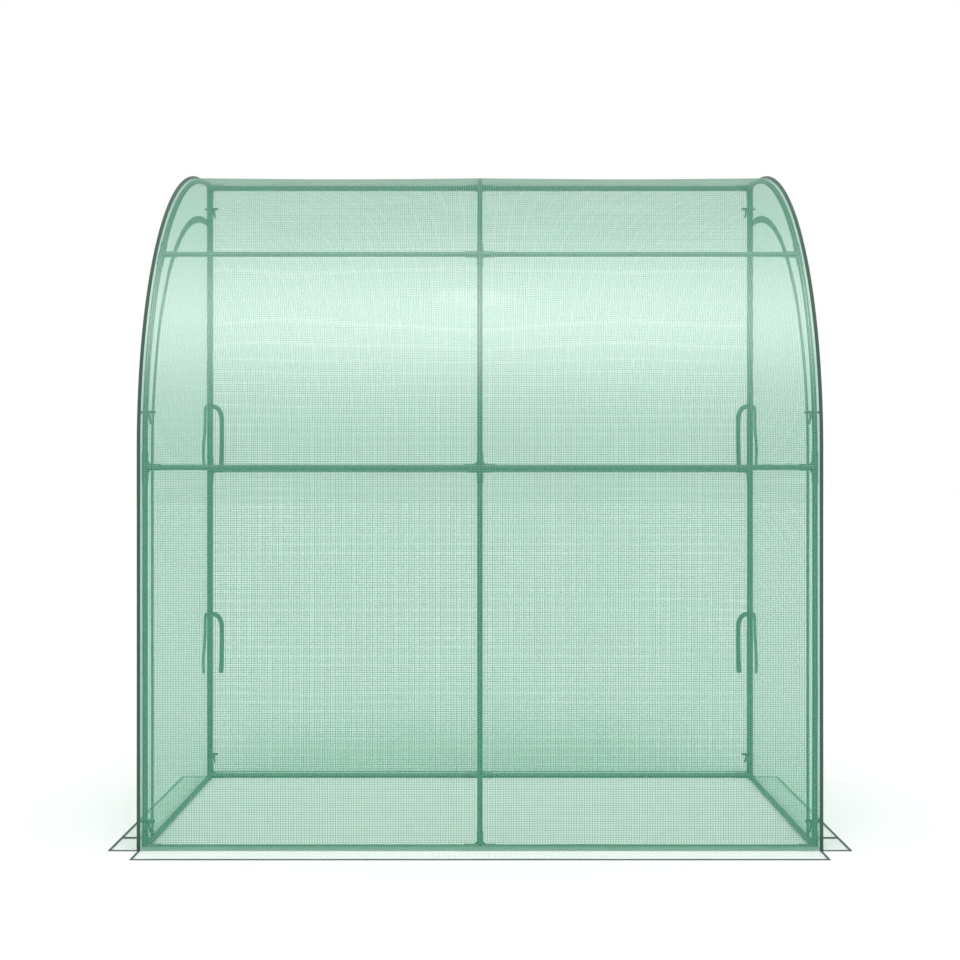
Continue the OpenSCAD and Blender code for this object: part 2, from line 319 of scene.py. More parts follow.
    @staticmethod
    def _level_shade() -> bpy.types.NodeTree:
        """Build a mask of painted shade where a surface is nearly level, in soft patches.

        Returns:
            The group, which gives the mask.
        """
        tree, given, made = new_group("painted_level_shade", {"Place": None, "Amount": 0.3}, {"Mask": "Float"})
        lie = tree.add("SeparateXYZ", {0: tree.add("NewGeometry").outputs["Normal"]}).outputs["Z"]
        steepness = tree.math("ABSOLUTE", lie)
        flat = {"Value": steepness, "From Min": Effects.LEVEL_FROM, "From Max": Effects.LEVEL_TO}
        level = tree.add("MapRange", flat, interpolation_type="SMOOTHSTEP").outputs["Result"]
        cloud = tree.add("TexNoise", {"Vector": given["Place"], "Scale": 5.0, "Detail": 3.0}).outputs["Fac"]
        shade_patches = tree.math("MULTIPLY_ADD", cloud, 0.5, 0.75)
        lying = tree.math("MULTIPLY", level, shade_patches)
        tree.feed(made["Mask"], tree.math("MULTIPLY", lying, given["Amount"]))
        return tree.tree


def shader(name: str) -> tuple[bpy.types.Material, Tree, bpy.types.Node]:
    """Start a material.

    Args:
        name: The material's name.

    Returns:
        The material, its tree and its Principled shader.
    """
    material = bpy.data.materials.new(name)
    material.use_nodes = True
    return material, Tree(material.node_tree), material.node_tree.nodes["Principled BSDF"]


# ---------------------------------------------------------------- finishes


@dataclass(frozen=True)
class MeshCloth:
    """Clear film on a woven grid of flat green threads, with a painted shade that may darken its level parts
    grey-green and make them hide more.
    """

    name: str
    film: Colour = (0.03, 0.70, 0.38)
    thread: Colour = (0.02, 0.24, 0.13)
    film_cover: float = 0.24
    thread_cover: float = 1.0
    gloss: float = 0.45
    coat_ior: float = 1.9
    coat_gloss: float = 0.55
    # The painted shade on level parts: its amount, how much it dulls the coat, and its grey-green colour.
    dust: float = 0.0
    dust_dulls: float = 2.4
    dust_colour: Colour = (0.17, 0.28, 0.21)
    pitch: Point2 = (7.65 * MM, 6.7 * MM)
    thread_w: float = 0.9 * MM
    unevenness: float = 0.12
    relief: float = 0.2

    def material(self, effects: Effects) -> bpy.types.Material:
        """Build the material, which reads the piece's map in metres.

        Args:
            effects: The shared groups.

        Returns:
            The material.
        """
        material, tree, surface = shader(self.name)
        place = tree.add("UVMap", uv_map="Cloth").outputs[0]
        across, up = self.pitch
        grid = tree.group(effects.grid, Map=place, Pitch_U=across, Pitch_V=up, Thread=self.thread_w)
        mottle = {"Colour": rgba(self.film), "Scale": 3.0, "Amount": self.unevenness}
        film = tree.group(effects.mottle, Place=place, **mottle)
        threads = grid.outputs["Threads"]
        cloudy = tree.blend(film.outputs["Cloud"], self.film_cover * 0.9, self.film_cover * 1.1)
        base = tree.tint(threads, film.outputs["Colour"], rgba(self.thread))
        cover = tree.blend(threads, cloudy, self.thread_cover)
        surface.inputs["Coat Weight"].default_value = 1.0
        # Painted shade darkens the level parts of the cover and makes them hide more.
        if self.dust:
            base, cover = self._add_level_shade(effects, tree, surface, place, base, cover)
        threads_up = {"Strength": self.relief, "Distance": 0.2 * MM, "Height": grid.outputs["Height"]}
        bump = tree.add("Bump", threads_up)
        tree.feed(surface.inputs["Base Color"], base)
        tree.feed(surface.inputs["Alpha"], cover)
        tree.feed(surface.inputs["Roughness"], tree.blend(threads, self.gloss, self.gloss + 0.06))
        tree.feed(surface.inputs["Normal"], bump.outputs[0])
        surface.inputs["Coat Roughness"].default_value = self.coat_gloss
        surface.inputs["Coat IOR"].default_value = self.coat_ior
        return material

    def _add_level_shade(
        self,
        effects: Effects,
        tree: Tree,
        surface: bpy.types.Node,
        place: Socket,
        base: Socket,
        cover: Socket,
    ) -> tuple[Socket, Socket]:
        """Paint shade on the level parts of the mesh: a darker grey-green that hides more, with the coat's
        gloss dulled there.

        Args:
            effects: The shared groups.
            tree: The material's tree.
            surface: Its Principled shader.
            place: The map in metres.
            base: The mesh's colour without the painted shade.
            cover: How much the mesh hides without the painted shade.

        Returns:
            The mesh's colour with the painted shade, and how much it hides.
        """
        dust = tree.group(effects.dust, Place=place, Amount=self.dust).outputs["Mask"]
        dulled = tree.math("MINIMUM", tree.math("MULTIPLY", dust, self.dust_dulls), 1.0)
        tree.feed(surface.inputs["Coat Weight"], tree.math("SUBTRACT", 1.0, dulled))
        covered = tree.math("MINIMUM", tree.math("ADD", cover, dust), 1.0)
        return tree.tint(dulled, base, rgba(self.dust_colour)), covered


@dataclass(frozen=True)
class WovenTape:
    """Dull woven tape, such as binding, webbing or zip tape, with painted shade in the dips of its weave."""

    name: str
    colour: Colour = (0.04, 0.125, 0.085)
    pitch: float = 1.3 * MM
    # How dark the painted shade in the weave's dips is, as a share of the tape's colour.
    dip_shade: float = 0.72

    def material(self, effects: Effects) -> bpy.types.Material:
        """Build the material, which reads the piece's map in metres.

        Args:
            effects: The shared groups.

        Returns:
            The material.
        """
        material, tree, surface = shader(self.name)
        place = tree.add("UVMap", uv_map="Cloth").outputs[0]
        weave = tree.group(effects.weave, Map=place, Pitch=self.pitch).outputs["Height"]
        base = tree.group(effects.mottle, Place=place, Colour=rgba(self.colour), Scale=60.0, Amount=0.3)
        # Painted shade: the low parts of the weave take a darker copy of the tape's colour.
        deep = tuple(channel * self.dip_shade for channel in self.colour)
        bump = tree.add("Bump", {"Strength": 0.6, "Distance": 0.3 * MM, "Height": weave})
        tree.feed(surface.inputs["Base Color"], tree.tint(weave, rgba(deep), base.outputs["Colour"]))
        tree.feed(surface.inputs["Roughness"], tree.blend(weave, 0.95, 0.8))
        tree.feed(surface.inputs["Normal"], bump.outputs[0])
        surface.inputs["Sheen Weight"].default_value = 0.25
        return material


@dataclass(frozen=True)
class HardCoat:
    """A painted, moulded or plated hard surface with rubbed edges and a fine grain."""

    name: str
    colour: Colour
    worn: Colour
    roughness: float
    grain_scale: float
    grain: float
    metallic: float = 0.0

    def material(self, effects: Effects) -> bpy.types.Material:
        """Build the material, which reads the object's own coordinates.

        Args:
            effects: The shared groups.

        Returns:
            The material.
        """
        material, tree, surface = shader(self.name)
        place = tree.add("TexCoord").outputs["Object"]
        base = tree.group(effects.mottle, Place=place, Colour=rgba(self.colour), Scale=14.0, Amount=0.22)
        wear = tree.group(effects.wear, Place=place).outputs["Mask"]
        peel = tree.add("TexNoise", {"Vector": place, "Scale": self.grain_scale, "Detail": 2.0})
        grain = {"Strength": self.grain, "Distance": 0.2 * MM, "Height": peel.outputs["Fac"]}
        bump = tree.add("Bump", grain)
        rough = tree.blend(base.outputs["Cloud"], self.roughness * 0.85, self.roughness * 1.15)
        tree.feed(surface.inputs["Base Color"], tree.tint(wear, base.outputs["Colour"], rgba(self.worn)))
        tree.feed(surface.inputs["Roughness"], rough)
        tree.feed(surface.inputs["Normal"], bump.outputs[0])
        surface.inputs["Metallic"].default_value = self.metallic
        return material


@dataclass(frozen=True)
class Finishes:
    """Every finish of the greenhouse."""

    canopy: bpy.types.Material
    walls: bpy.types.Material
    ends: bpy.types.Material
    skirts: bpy.types.Material
    foot: bpy.types.Material
    tape: bpy.types.Material
    hem: bpy.types.Material
    webbing: bpy.types.Material
    tubes: bpy.types.Material
    fittings: bpy.types.Material
    teeth: bpy.types.Material
    plated: bpy.types.Material

    @classmethod
    def make(cls, effects: Effects) -> "Finishes":
        """Build each material once.

        Args:
            effects: The shared groups.

        Returns:
            Every finish.
        """
        green, pale = (0.012, 0.078, 0.044), (0.05, 0.16, 0.10)
        light, deep = (0.30, 0.74, 0.54), (0.16, 0.48, 0.34)
        steel, bright = (0.55, 0.57, 0.55), (0.8, 0.8, 0.78)
        return cls(
            # The canopy's level roof gets a painted shade.
            canopy=MeshCloth("canopy_mesh", dust=0.36).material(effects),
            walls=MeshCloth("wall_mesh").material(effects),
            ends=MeshCloth("end_mesh", film_cover=0.32).material(effects),
            skirts=MeshCloth("skirt_mesh", light, deep, 0.03, 0.34, coat_ior=1.3).material(effects),
            foot=MeshCloth("foot_mesh", (0.6, 0.86, 0.72), light, 0.33, 0.4, coat_ior=1.3).material(effects),
            tape=WovenTape("edge_tape").material(effects),
            hem=WovenTape("hem_tape", (0.02, 0.075, 0.05)).material(effects),
            webbing=WovenTape("strap_webbing", (0.03, 0.11, 0.065), 1.6 * MM).material(effects),
            tubes=HardCoat("powder_coat", green, pale, 0.45, 520.0, 0.06).material(effects),
            fittings=HardCoat("moulded_green", green, pale, 0.46, 900.0, 0.12).material(effects),
            teeth=HardCoat("zip_coil", (0.05, 0.13, 0.09), pale, 0.4, 900.0, 0.05).material(effects),
            plated=HardCoat("plated_zip", steel, bright, 0.3, 900.0, 0.08, metallic=1.0).material(effects),
        )


# ---------------------------------------------------------------- meshes


@dataclass(frozen=True)
class Station:
    """A place along a swept piece, with the way across it and the way off its face."""

    at: Vector
    side: Vector
    out: Vector


def make_mesh(
    name: str,
    points: Sequence[Vector],
    faces: Sequence[Sequence[int]],
    flat: Sequence[Point2] | None = None,
    smooth: bool = True,
) -> Object:
    """Make an object from points and faces.

    Args:
        name: The piece's name.
        points: Its points, in metres in the building's frame.
        faces: Its faces, as numbers of points.
        flat: Each point's place on the flat cloth, in metres.
        smooth: Whether it is shaded smooth.

    Returns:
        The object, linked to the scene.
    """
    mesh = bpy.data.meshes.new(name)
    mesh.from_pydata(points, [], faces)
    if flat is not None:
        layer = mesh.uv_layers.new(name="Cloth")
        for loop in mesh.loops:
            layer.data[loop.index].uv = flat[loop.vertex_index]
    for face in mesh.polygons:
        face.use_smooth = smooth
    piece = bpy.data.objects.new(name, mesh)
    bpy.context.scene.collection.objects.link(piece)
    return piece


def grid_piece(name: str, rows: Sequence[Sequence[Vector]], flats: Sequence[Sequence[Point2]]) -> Object:
    """Make one sheet from rows of points that have as many points each.

    Args:
        name: The piece's name.
        rows: The rows of points.
        flats: Each point's place on the flat cloth, in the same rows.

    Returns:
        The sheet.
    """
    count = len(rows[0])
    faces = [
        (r * count + c, r * count + c + 1, (r + 1) * count + c + 1, (r + 1) * count + c)
        for r in range(len(rows) - 1)
        for c in range(count - 1)
    ]
    return make_mesh(name, [p for row in rows for p in row], faces, [f for row in flats for f in row])


def tape_profile(width: float, thickness: float) -> list[Point2]:
    """Return the cross-section of a tape, with soft edges and a slight crown.

    Args:
        width: The tape's width.
        thickness: Its thickness.

    Returns:
        The cross-section's corners, in order.
    """
    half, deep, soft = width / 2, thickness / 2, min(width / 8, thickness / 2)
    upper = [(-half, 0.0), (-half + soft * 0.3, deep * 0.75), (-half + soft, deep), (0.0, deep * 1.05)]
    upper += [(-u, v) for u, v in reversed(upper[:-1])]
    return upper + [(u, -v) for u, v in reversed(upper[1:-1])]


@dataclass
class Solid:
    """Points and faces that several sweeps or blocks add up to."""

    points: list[Vector]
    faces: list[tuple[int, ...]]
    flat: list[Point2]

    @classmethod
    def empty(cls) -> "Solid":
        """Return a solid with nothing in it yet."""
        return cls([], [], [])

    def sweep(self, stations: Sequence[Station], profile: Sequence[Point2], closed: bool = False) -> "Solid":
        """Sweep a closed cross-section along some stations.

        Args:
            stations: The places along the sweep.
            profile: The cross-section, as shares of side and out.
            closed: Whether the last station joins the first.

        Returns:
            This solid, with the sweep added.
        """
        start, count, run = len(self.points), len(profile), 0.0
        for i, station in enumerate(stations):
            run += (station.at - stations[i - 1].at).length if i else 0.0
            for u, v in profile:
                self.points.append(station.at + station.side * u + station.out * v)
                self.flat.append((u, run))
        rings = len(stations)
        for r in range(rings if closed else rings - 1):
            low, high = start + r * count, start + ((r + 1) % rings) * count
            for c in range(count):
                d = (c + 1) % count
                self.faces.append((low + c, low + d, high + d, high + c))
        if not closed:
            last = start + (rings - 1) * count
            self.faces.append(tuple(start + c for c in reversed(range(count))))
            self.faces.append(tuple(last + c for c in range(count)))
        return self

    def block(self, centre: Vector, axes: Sequence[Vector], taper: float = 1.0) -> "Solid":
        """Add a block.

        Args:
            centre: Its middle.
            axes: Its three half axes.
            taper: The size of its far face, as a share of its near one.

        Returns:
            This solid, with the block added.
        """
        start = len(self.points)
        for k in (-1, 1):
            scale = taper if k > 0 else 1.0
            for i, j in ((-1, -1), (1, -1), (1, 1), (-1, 1)):
                self.points.append(centre + axes[0] * (i * scale) + axes[1] * (j * scale) + axes[2] * k)
                self.flat.append((i * axes[0].length, j * axes[1].length))
        for face in ((3, 2, 1, 0), (4, 5, 6, 7), (0, 1, 5, 4), (1, 2, 6, 5), (2, 3, 7, 6), (3, 0, 4, 7)):
            self.faces.append(tuple(start + n for n in face))
        return self

    def piece(self, name: str, smooth: bool = True) -> Object:
        """Return the object that these points and faces make."""
        return make_mesh(name, self.points, self.faces, self.flat, smooth)


def dress(piece: Object, material: bpy.types.Material, slot: Slot, *replaced: str) -> Object:
    """Give a piece its material and its body, and report it.

    Args:
        piece: The new piece.
        material: Its finish.
        slot: Its material slot; not used.
        replaced: The CAD nodes that it stands for.

    Returns:
        The piece.
    """
    piece.data.materials.append(material)
    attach(piece, BODY)
    if replaced:
        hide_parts(*replaced)
    LOG.info("%s: %d faces, for %s", piece.name, len(piece.data.polygons), ", ".join(replaced) or "itself")
    return piece


def ease(value: float) -> float:
    """Return 0 to 1 with soft ends, for a value from 0 to 1 or past it.

    Args:
        value: The value.

    Returns:
        The eased value.
    """
    t = min(max(value, 0.0), 1.0)
    return t * t * (3 - 2 * t)


def spread(low: float, high: float, count: int) -> list[float]:
    """Return count + 1 even steps from low to high."""
    return [low + (high - low) * i / count for i in range(count + 1)]


def smooth_path(points: Sequence[Vector], steps: int) -> list[Vector]:
    """Return a smooth line through some points.

    Args:
        points: The points.
        steps: The number of steps between each two of them.

    Returns:
        The line's points.
    """
    line = [points[0], *points, points[-1]]
    made = []
    for i in range(1, len(line) - 2):
        a, b, c, d = line[i - 1 : i + 3]
        square, cube = 2 * a - 5 * b + 4 * c - d, 3 * b - a - 3 * c + d
        for k in range(steps):
            t = k / steps
            made.append(((2 * b) + (c - a) * t + square * t**2 + cube * t**3) / 2)
    return [*made, Vector(points[-1])]


def loop_angles(count: int) -> list[float]:
    """Return even angles once round a circle."""
    return spread(0, 2 * math.pi, count)[:-1]


# ---------------------------------------------------------------- the building's shape


@dataclass(frozen=True)
class Outline:
    """The cover's shape in a plane across the building: a front, a quarter bend and a back."""

    front: float
    back: float
    spring: float
    top: float

    @classmethod
    def read(cls) -> "Outline":
        """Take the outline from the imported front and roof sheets."""
        wall_low, wall_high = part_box("front_cover")
        _, roof_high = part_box("roof_cover")
        return cls(front=wall_low.y, back=roof_high.y, spring=wall_high.z, top=roof_high.z)

    @property
    def radius(self) -> float:
        """The bend's radius at the cover's outer face."""
        return self.top - self.spring

    @property
    def middle(self) -> float:
        """The place along Y of the bend's middle."""
        return self.front + self.radius

    def rise(self, inset: float, low: float, steps: int = 24) -> list[tuple[Vector, Vector]]:
        """Go up the front and over the bend.

        Args:
            inset: The distance in from the cover's outer face.
            low: The height to start from.
            steps: The number of steps on the straight part.

        Returns:
            Points at X = 0, each with its way outwards.
        """
        wall, forwards = self.front + inset, Vector((0, -1, 0))
        line = [(Vector((0, wall, z)), forwards) for z in spread(low, self.spring, steps)]
        reach = self.radius - inset
        for angle in spread(0.0, math.pi / 2, 3 * steps)[1:]:
            out = Vector((0, -math.cos(angle), math.sin(angle)))
            line.append((Vector((0, self.middle, self.spring)) + out * reach, out))
        return line

    def fall(self, inset: float, low: float, steps: int = 40) -> list[tuple[Vector, Vector]]:
        """Go round the back corner and down the back, from where rise ends.

        Args:
            inset: The distance in from the cover's outer face.
            low: The height to end at.
            steps: The number of steps on the straight part.

        Returns:
            Points at X = 0, each with its way outwards.
        """
        corner = Vector((0, self.middle, self.spring + self.radius - (self.back - self.middle)))
        reach = self.back - self.middle - inset
        line = []
        for angle in spread(math.pi / 2, 0.0, 6)[1:]:
            out = Vector((0, math.cos(angle), math.sin(angle)))
            line.append((corner + out * reach, out))
        wall, backwards = self.back - inset, Vector((0, 1, 0))
        line += [(Vector((0, wall, z)), backwards) for z in spread(corner.z, low, steps)[1:]]
        return line


def run_lengths(line: Sequence[tuple[Vector, Vector]]) -> list[float]:
    """Return the length along a line up to each of its points.

    Args:
        line: The line's points, each with its way outwards.

    Returns:
        The lengths, the first of which is 0.
    """
    lengths = [0.0]
    for (before, _), (here, _) in zip(line, line[1:]):
        lengths.append(lengths[-1] + (here - before).length)
    return lengths


# ---------------------------------------------------------------- frame


@dataclass(frozen=True)
class Joint:
    """A fitting: its middle, each arm's way out of it, and each mouth's middle and way."""

    at: Vector
    ways: tuple[Vector, ...]
    mouths: tuple[tuple[Vector, Vector], ...]

    @classmethod
    def straight(cls, at: Vector, ways: Sequence[Vector], arm: float) -> "Joint":
        """Return a fitting whose arms are straight and equally long.

        Args:
            at: Its middle.
            ways: The ways of its arms.
            arm: Their length.

        Returns:
            The fitting.
        """
        return cls(at, tuple(ways), tuple((at + way * arm, way) for way in ways))


@dataclass
class TubeFrame:
    """The steel tubes and the moulded fittings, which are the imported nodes, and the fittings' detail."""

    finishes: Finishes
    sleeve_r: float = 9.5 * MM
    lip_r: float = 0.9 * MM
    fillet: float = 11.0 * MM
    gusset_t: float = 6.0 * MM
    root_share: float = 0.8
    end_share: float = 0.95

    def build(self) -> None:
        """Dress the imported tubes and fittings, and add the mouths' lips and the corners' fillets."""
        for name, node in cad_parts.items():
            if "fittings" in name:
                self._paint(node, self.finishes.fittings)
            elif any(part in name for part in ("leg", "arch", "post", "rails")):
                self._paint(node, self.finishes.tubes)
        lips, gussets = Solid.empty(), Solid.empty()
        for joint in self._joints():
            for centre, way in joint.mouths:
                self._lip(lips, centre, way)
            for i, first in enumerate(joint.ways):
                for second in joint.ways[i + 1 :]:
                    if abs(first.dot(second)) < 0.5:
                        self._gusset(gussets, joint.at, first, second)
        for solid, name in ((lips, "socket_lips"), (gussets, "fitting_fillets")):
            solid.points = [Vector((p.x, p.y, max(p.z, 0.0))) for p in solid.points]
            dress(solid.piece(name, smooth=name == "socket_lips"), self.finishes.fittings, Slot.FITTING)

    @staticmethod
    def _paint(node: Object, material: bpy.types.Material) -> None:
        """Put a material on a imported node."""
        for slot in node.material_slots:
            slot.material = material
        LOG.info("%s: painted with %s", node.name, material.name)

    def _joints(self) -> list[Joint]:
        """Find every fitting of the frame.

        Returns:
            The fittings.
        """
        low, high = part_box("front_middle_fittings")
        arm, middle_z = (high.z - low.z) / 2 - self.lip_r, (low.z + high.z) / 2
        post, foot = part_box("right_back_post"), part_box("side_ground_rails")
        post_x, post_y = (post[0].x + post[1].x) / 2, (post[0].y + post[1].y) / 2
        foot_z = (foot[0].z + foot[1].z) / 2
        roof, top = (sum(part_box(name), Vector()) / 2 for name in ("roof_rails", "top_rails"))
        up, joints = Vector((0, 0, 1)), []
        for x in (-post_x, 0.0, post_x):
            inside = [sign for sign in (1, -1) if abs(x + sign * post_x) < post_x * 1.5]
            level = [Vector((sign, 0, 0)) for sign in inside]
            for y in (-post_y, post_y):
                across = [Vector((0, -math.copysign(1, y), 0))] if x else []
                joints.append(Joint.straight(Vector((x, y, foot_z)), [*level, up, *across], arm))
                joints.append(Joint.straight(Vector((x, y, middle_z)), [*level, up, -up], arm))
            roof_at, top_at = Vector((x, roof.y, roof.z)), Vector((x, post_y, top.z))
            joints.append(self._on_bend(roof_at, post_y, level, (1, -1), arm))
            joints.append(self._on_bend(top_at, post_y, [*level, -up], (-1,), arm))
        return joints

    @staticmethod
    def _on_bend(
        at: Vector, middle_y: float, straight: list[Vector], signs: Sequence[int], arm: float
    ) -> Joint:
        """Return a fitting that also has arms along the bend.

        Args:
            at: The fitting's middle.
            middle_y: The place along Y of the bend's middle.
            straight: The ways of its straight arms.
            signs: 1 for an arm up the bend and -1 for an arm down it.
            arm: The length of each arm.

        Returns:
            The fitting.
        """
        middle = Vector((at.x, middle_y, Outline.read().spring))
        reach = (at - middle).length
        tilt = math.atan2(at.z - middle.z, middle.y - at.y)
        ways, mouths = list(straight), [(at + way * arm, way) for way in straight]
        for sign in signs:
            angle = tilt + sign * arm / reach
            out = Vector((0, -math.cos(angle), math.sin(angle)))
            mouths.append((middle + out * reach, Vector((0, math.sin(angle), math.cos(angle))) * sign))
            ways.append(Vector((0, math.sin(tilt), math.cos(tilt))) * sign)
        return Joint(at, tuple(ways), tuple(mouths))

    def _lip(self, solid: Solid, centre: Vector, way: Vector) -> None:
        """Add one round lip.

        Args:
            solid: The solid that it is added to.
            centre: The mouth's middle.
            way: The way that the mouth faces.
        """
        turn = way.to_track_quat("Z", "Y").to_matrix()
        profile = [(self.lip_r * math.cos(a), self.lip_r * 1.2 * math.sin(a)) for a in loop_angles(8)]
        stations = []
        for angle in loop_angles(32):
            out = turn @ Vector((math.cos(angle), math.sin(angle), 0))
            stations.append(Station(centre + out * self.sleeve_r, out, way))
        solid.sweep(stations, profile, closed=True)

    def _gusset(self, solid: Solid, at: Vector, first: Vector, second: Vector) -> None:
        """Add the hollow-edged fillet between two arms, thinner towards its edge.

        Args:
            solid: The solid that it is added to.
            at: The fitting's middle.
            first: One arm's way.
            second: The other arm's way.
        """
        root, far = self.sleeve_r * self.root_share, self.sleeve_r + self.fillet
        normal = first.cross(second).normalized()
        stations = []
        for angle in spread(0, math.pi / 2, 10):
            u, v = far - self.fillet * math.cos(angle), far - self.fillet * math.sin(angle)
            if angle == 0.0:
                u, v = self.sleeve_r * self.end_share, far
            foot = at + first * root + second * root
            edge = at + first * u + second * v
            stations.append(Station((foot + edge) / 2, (edge - foot) / 2, normal))
        half = self.gusset_t / 2
        upper = [(-1.0, half), (0.6, half * 0.8), (1.0, half * 0.35)]
        solid.sweep(stations, [*upper, *((u, -v) for u, v in reversed(upper))])


# ---------------------------------------------------------------- cover


@dataclass
class Cover:
    """The sheet over the front and roof, the back sheet, the ridge tape and the bound edges."""

    finishes: Finishes
    outline: Outline
    columns: int = 96
    wall_sag: float = 1.5 * MM
    roof_sag: float = 5.0 * MM
    ripple: float = 0.7 * MM
    foot_height: float = 12.0 * MM
    fin_w: float = 12.0 * MM
    fin_t: float = 2.6 * MM
    corner_w: float = 8.0 * MM
    corner_t: float = 1.6 * MM
    corner_in: float = 3.5 * MM
    fin_out: float = 0.7 * MM
    ridge_w: float = 20.0 * MM
    ridge_drop: float = 0.8 * MM
    band_gap: float = 0.4 * MM
    band_foot: float = 0.5 * MM
    tape_foot: float = 0.2 * MM
    wrap: float = 20.0 * MM
    held_edge: float = 0.2

    def build(self) -> None:
        """Make the sheets and their tapes."""
        self._canopy()
        self._back()
        self._ridge_tape()
        for side in Side:
            self._binding(side)

    def _ridge_tape(self) -> None:
        """Make the tape over the seam where the roof meets the back."""
        low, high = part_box("roof_cover")
        up, away = Vector((0, 0, 1)), Vector((0, 1, 0))
        y, z = high.y + self.corner_t / 2, high.z - self.ridge_w / 2 - self.ridge_drop
        line = [Station(Vector((x, y, z)), up, away) for x in spread(low.x, high.x, self.columns)]
        tape = Solid.empty().sweep(line, tape_profile(self.ridge_w, self.corner_t))
        dress(tape.piece("ridge_tape"), self.finishes.tape, Slot.TRIM)

    def _supports(self) -> list[float]:
        """Find what carries the canopy.

        Returns:
            How far along it the foot, each rail and the ridge are.
        """
        middle = sum(corner.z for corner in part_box("front_middle_rails")) / 2
        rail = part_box("roof_rails")
        lift = (rail[0].z + rail[1].z) / 2 - self.outline.spring
        back = self.outline.middle - (rail[0].y + rail[1].y) / 2
        roof = self.outline.spring + self.outline.radius * math.atan2(lift, back)
        return [0.0, middle, roof, self.outline.spring + self.outline.radius * math.pi / 2]

    def _slack(self, x: float, run: float, supports: Sequence[float]) -> float:
        """Find how far in the canopy hangs at a place, between the tubes that carry it.

        Args:
            x: The place along X.
            run: The place along the canopy.
            supports: How far along it what carries it is.

        Returns:
            The depth.
        """
        post_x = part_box("right_back_post")[0].x
        bay = abs(math.sin(math.pi * min(abs(x) / post_x, 1.0)))
        for k, (low, high) in enumerate(zip(supports, supports[1:])):
            if low <= run <= high:
                lane = math.sin(math.pi * (run - low) / (high - low))
                deep = self.wall_sag if k == 0 else self.roof_sag
                wave = noise.noise(Vector((x * 2.6, run * 4.3, 5.0)))
                return bay * lane * (deep + self.ripple * wave)
        return 0.0

    def _canopy(self) -> None:
        """Make the one sheet that goes up the front and over the roof."""
        low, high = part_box("front_cover")
        inset = (high.y - low.y) / 2
        line = self.outline.rise(inset, low.z + inset, steps=36)
        line += self.outline.fall(inset, self.outline.top - self.wrap, steps=1)[:-1]
        runs, columns = run_lengths(line), spread(low.x, high.x, self.columns)
        supports = self._supports()
        rows = [
            [Vector((x, 0, 0)) + at - out * self._slack(x, run, supports) for x in columns]
            for (at, out), run in zip(line, runs)
        ]
        flats = [[(x, run) for x in columns] for run in runs]
        sheet = grid_piece("canopy_sheet", rows, flats)
        dress(sheet, self.finishes.canopy, Slot.MESH, "front_cover", "roof_cover")
        self._foot_band("front", low.x, high.x, low.y - self.band_gap)

    def _foot_band(self, name: str, start: float, end: float, y: float) -> Object:
        """Make the doubled strip at the foot of a sheet, where the ground skirt is sewn on.

        Args:
            name: The first word of its name.
            start: Its lowest place along X.
            end: Its highest place along X.
            y: Its place along Y.

        Returns:
            The strip.
        """
        columns, heights = spread(start, end, self.columns), spread(self.band_foot, self.foot_height, 3)
        rows = [[Vector((x, y, z)) for x in columns] for z in heights]
        flats = [[(x, z) for x in columns] for z in heights]
        return dress(grid_piece(f"{name}_foot_band", rows, flats), self.finishes.foot, Slot.MESH)

    def _back(self) -> None:
        """Make the back sheet."""
        low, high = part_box("back_cover")
        y = (low.y + high.y) / 2
        thick = high.y - low.y
        rows, flats = [], []
        for z in spread(low.z + thick / 2, high.z, 60):
            edge, row = ease(min(z, high.z - z) / self.held_edge), []
            for x in spread(low.x, high.x, self.columns):
                wave = abs(noise.noise(Vector((x * 3, z * 2, 9.0))))
                row.append(Vector((x, y + self.ripple * edge * wave, z)))
            rows.append(row)
            flats.append([(p.x, p.z) for p in row])
        sheet = grid_piece("back_sheet", rows, flats)
        dress(sheet, self.finishes.walls, Slot.MESH, "back_cover")
        self._foot_band("back", low.x, high.x, high.y + self.band_gap)

    def _binding(self, side: Side) -> None:
        """Make the tape that binds an end: a fin up the front and roof, and flat down the back.

        Args:
            side: The end.
        """
        low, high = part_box(f"{side.label}_edge_binding")
        near, far = sorted((abs(low.x), abs(high.x)))
        across = Vector((side.value, 0, 0))
        slant, foot = math.sqrt(0.5), low.z + self.tape_foot
        seam = across * ((near + far) / 2 + self.fin_out)
        fin = [
            Station(at + seam, (across + out) * slant, (out - across) * slant)
            for at, out in self.outline.rise(-self.fin_w * slant / 2 + self.fin_t * slant, foot)
        ]
        edge = across * (far - self.corner_w / 2 - self.corner_in)
        corner = [Station(at + edge, across, out) for at, out in self.outline.fall(self.corner_t / 2, foot)]
        tape = Solid.empty().sweep(fin, tape_profile(self.fin_w, self.fin_t))
        tape.sweep(corner, tape_profile(self.corner_w, self.corner_t))
        piece, bound = tape.piece(f"{side.label}_edge_tape"), f"{side.label}_edge_binding"
        dress(piece, self.finishes.tape, Slot.TRIM, bound)


# ---------------------------------------------------------------- ends and doors


